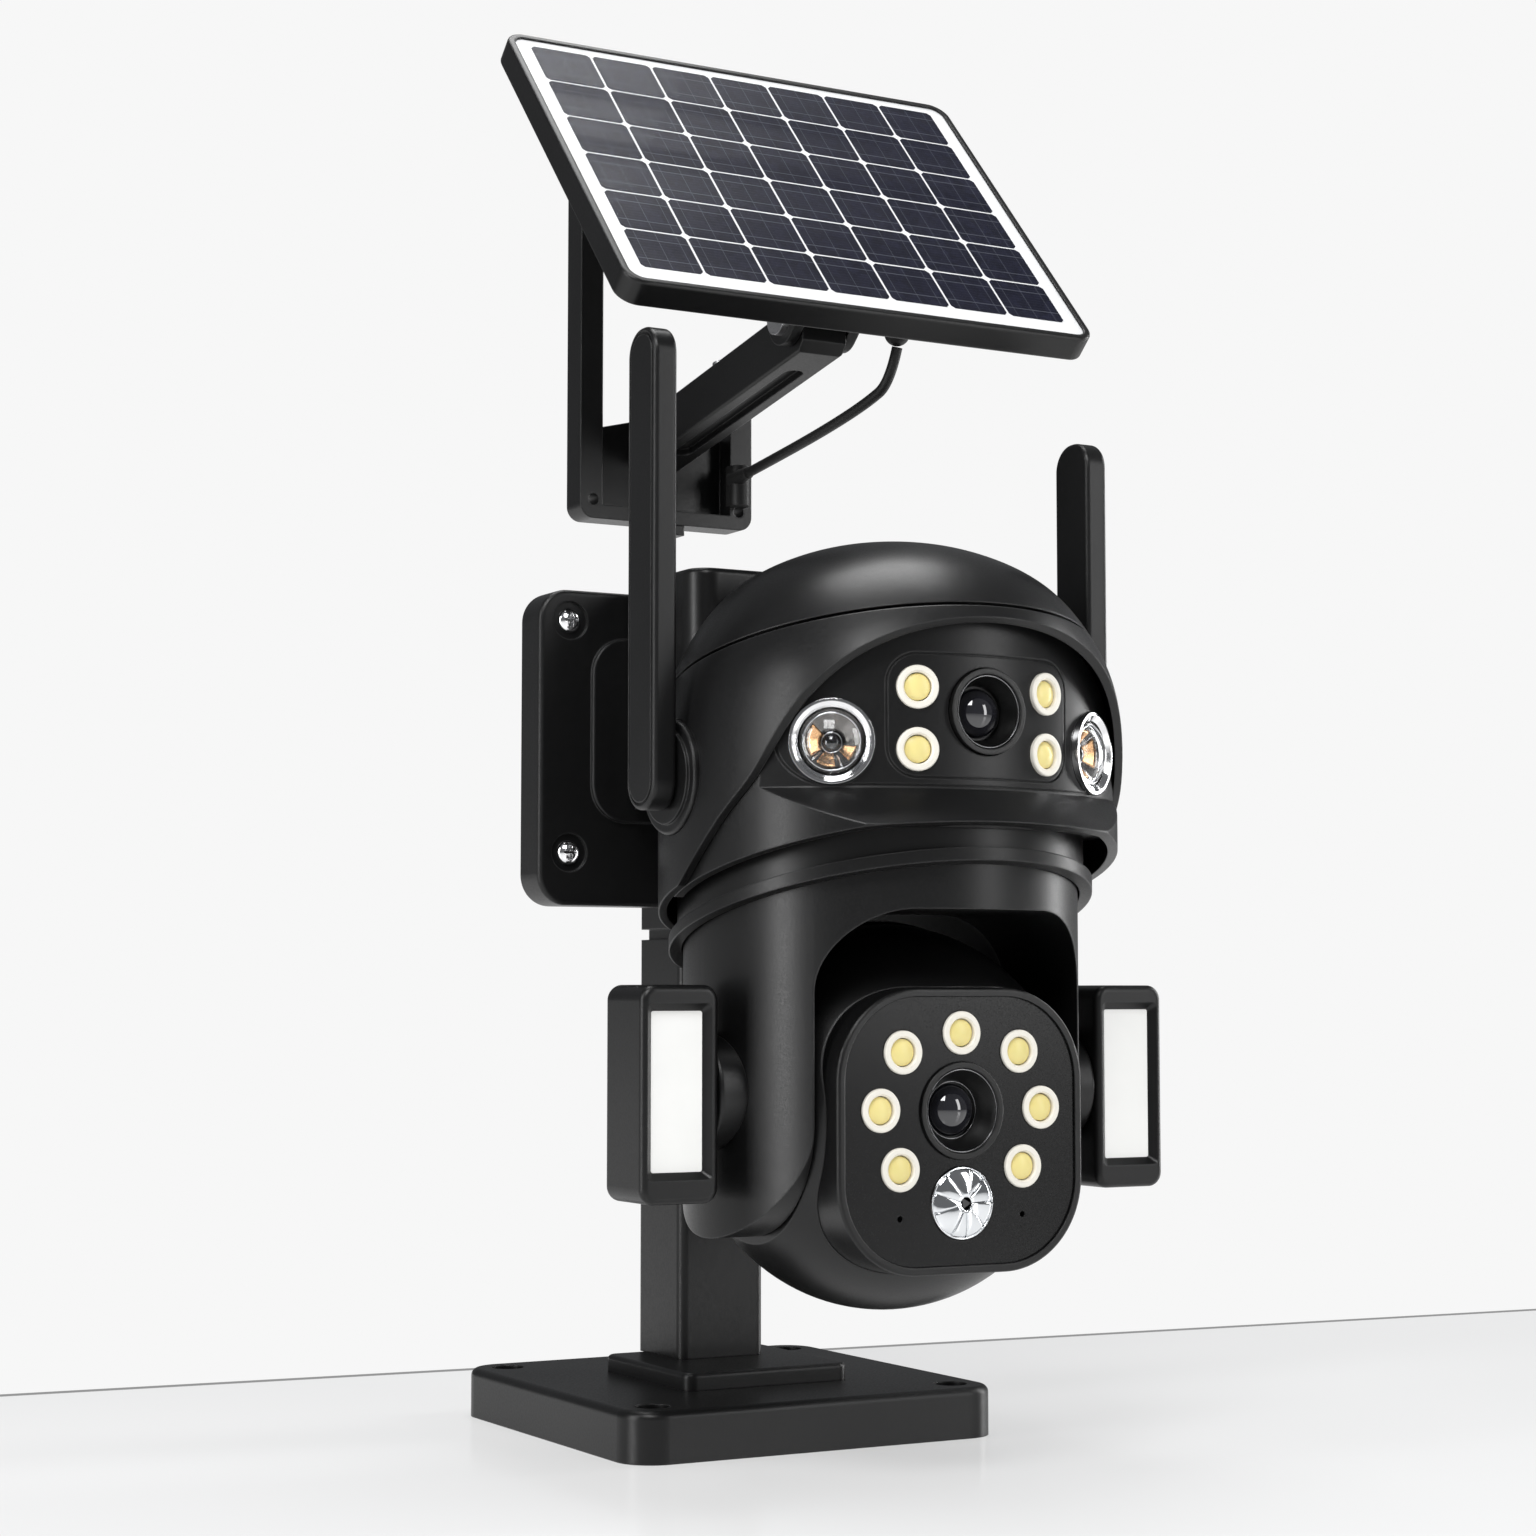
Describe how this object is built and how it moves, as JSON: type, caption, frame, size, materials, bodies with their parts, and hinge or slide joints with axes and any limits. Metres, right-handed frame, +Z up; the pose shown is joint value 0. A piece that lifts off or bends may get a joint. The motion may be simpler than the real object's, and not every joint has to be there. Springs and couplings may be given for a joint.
{
  "type": "security camera",
  "caption": "Outdoor pan-and-tilt security camera with a fixed upper head, side lights, fold-down antennas and a tilting solar panel, standing on a square base with a post",
  "frame": {"origin": "centre of the base plate's underside, on the surface the camera stands on", "axes": "+Z up, -Y the way the camera looks, +X to the right seen from behind the camera"},
  "size_m": [0.182, 0.2351, 0.4552],
  "materials": {
    "black_paint": "satin powder coat",
    "black_plastic": "satin moulded",
    "board_green": "solder mask",
    "cell": "coated",
    "cell_wrap": "shrink wrap",
    "chrome": "polished",
    "clear": "clear",
    "copper": "bright",
    "cream": "satin",
    "dark_glass": "coated",
    "gloss_black": "gloss",
    "lead_rubber": "smooth",
    "phosphor": "satin",
    "steel": "bare",
    "white_diffuser": "frosted",
    "white_sheet": "smooth"
  },
  "bodies": {
    "stand": {"antenna_sockets": "black_plastic", "arm_housing": "black_plastic", "base_plate": "black_paint", "battery_cells": "cell_wrap", "cap_screws": "steel", "carrier_post": "black_paint", "dome_cap": "black_plastic", "eye_housing": "black_plastic", "eye_led_chips": "phosphor", "eye_led_rings": "cream", "eye_lens_barrel": "black_plastic", "eye_lens_glass": "dark_glass", "flange_screws": "steel", "head_collar": "black_plastic", "head_floor": "black_plastic", "head_shell": "black_plastic", "main_board": "board_green", "mast": "black_paint", "mast_clamps": "black_paint", "plate_screws": "chrome", "post_flange": "black_paint", "post_tube": "black_paint", "sensor_bezels": "chrome", "sensor_cups": "copper", "sensor_domes": "clear", "shaft_bridge": "steel", "solar_arm": "black_paint", "solar_bracket": "black_paint", "solar_lead": "lead_rubber", "steel_plate": "steel", "tray_gland": "lead_rubber", "wall_plate": "black_paint"},
    "pan_turret": {"drum_shell": "black_plastic", "drum_retainer": "steel", "pan_motor": "steel", "tilt_pins": "steel", "light_hubs": "black_plastic"},
    "tilt_ball": {"ball_shell": "black_plastic", "face_bezel": "black_plastic", "face_plate": "gloss_black", "main_lens_barrel": "black_plastic", "main_lens_glass": "dark_glass", "face_led_rings": "cream", "face_led_chips": "phosphor", "pir_lens": "clear", "camera_board": "board_green", "tilt_motor": "steel"},
    "light_left": {"light_housing_left": "black_plastic", "light_diffuser_left": "white_diffuser"},
    "light_right": {"light_housing_right": "black_plastic", "light_diffuser_right": "white_diffuser"},
    "antenna_left": {"antenna_left": "black_plastic"},
    "antenna_right": {"antenna_right": "black_plastic"},
    "solar_panel": {"panel_frame": "black_plastic", "panel_backsheet": "white_sheet", "solar_cells": "cell", "panel_glass": "clear", "panel_ears": "black_paint", "panel_pin": "steel", "panel_gland": "lead_rubber"}
  },
  "joints": [
    {"name": "pan", "type": "hinge", "parent": "stand", "child": "pan_turret", "pos_m": [0, -0.1, 0.18], "axis": [0, 0, 1], "range_deg": [-175, 175]},
    {"name": "tilt", "type": "hinge", "parent": "pan_turret", "child": "tilt_ball", "pos_m": [0, -0.1, 0.105], "axis": [1, 0, 0], "range_deg": [-15, 85]},
    {"name": "light_left_tilt", "type": "hinge", "parent": "pan_turret", "child": "light_left", "pos_m": [-0.068, -0.103, 0.1132], "axis": [1, 0, 0], "range_deg": [-40, 40]},
    {"name": "light_right_tilt", "type": "hinge", "parent": "pan_turret", "child": "light_right", "pos_m": [0.068, -0.103, 0.1132], "axis": [1, 0, 0], "range_deg": [-40, 40]},
    {"name": "antenna_left_fold", "type": "hinge", "parent": "stand", "child": "antenna_left", "pos_m": [-0.076, -0.098, 0.2055], "axis": [1, 0, 0], "range_deg": [-35, 90]},
    {"name": "antenna_right_fold", "type": "hinge", "parent": "stand", "child": "antenna_right", "pos_m": [0.076, -0.098, 0.2055], "axis": [1, 0, 0], "range_deg": [-35, 90]},
    {"name": "panel_tilt", "type": "hinge", "parent": "stand", "child": "solar_panel", "pos_m": [0, -0.06, 0.357], "axis": [1, 0, 0], "range_deg": [-20, 15]}
  ]
}
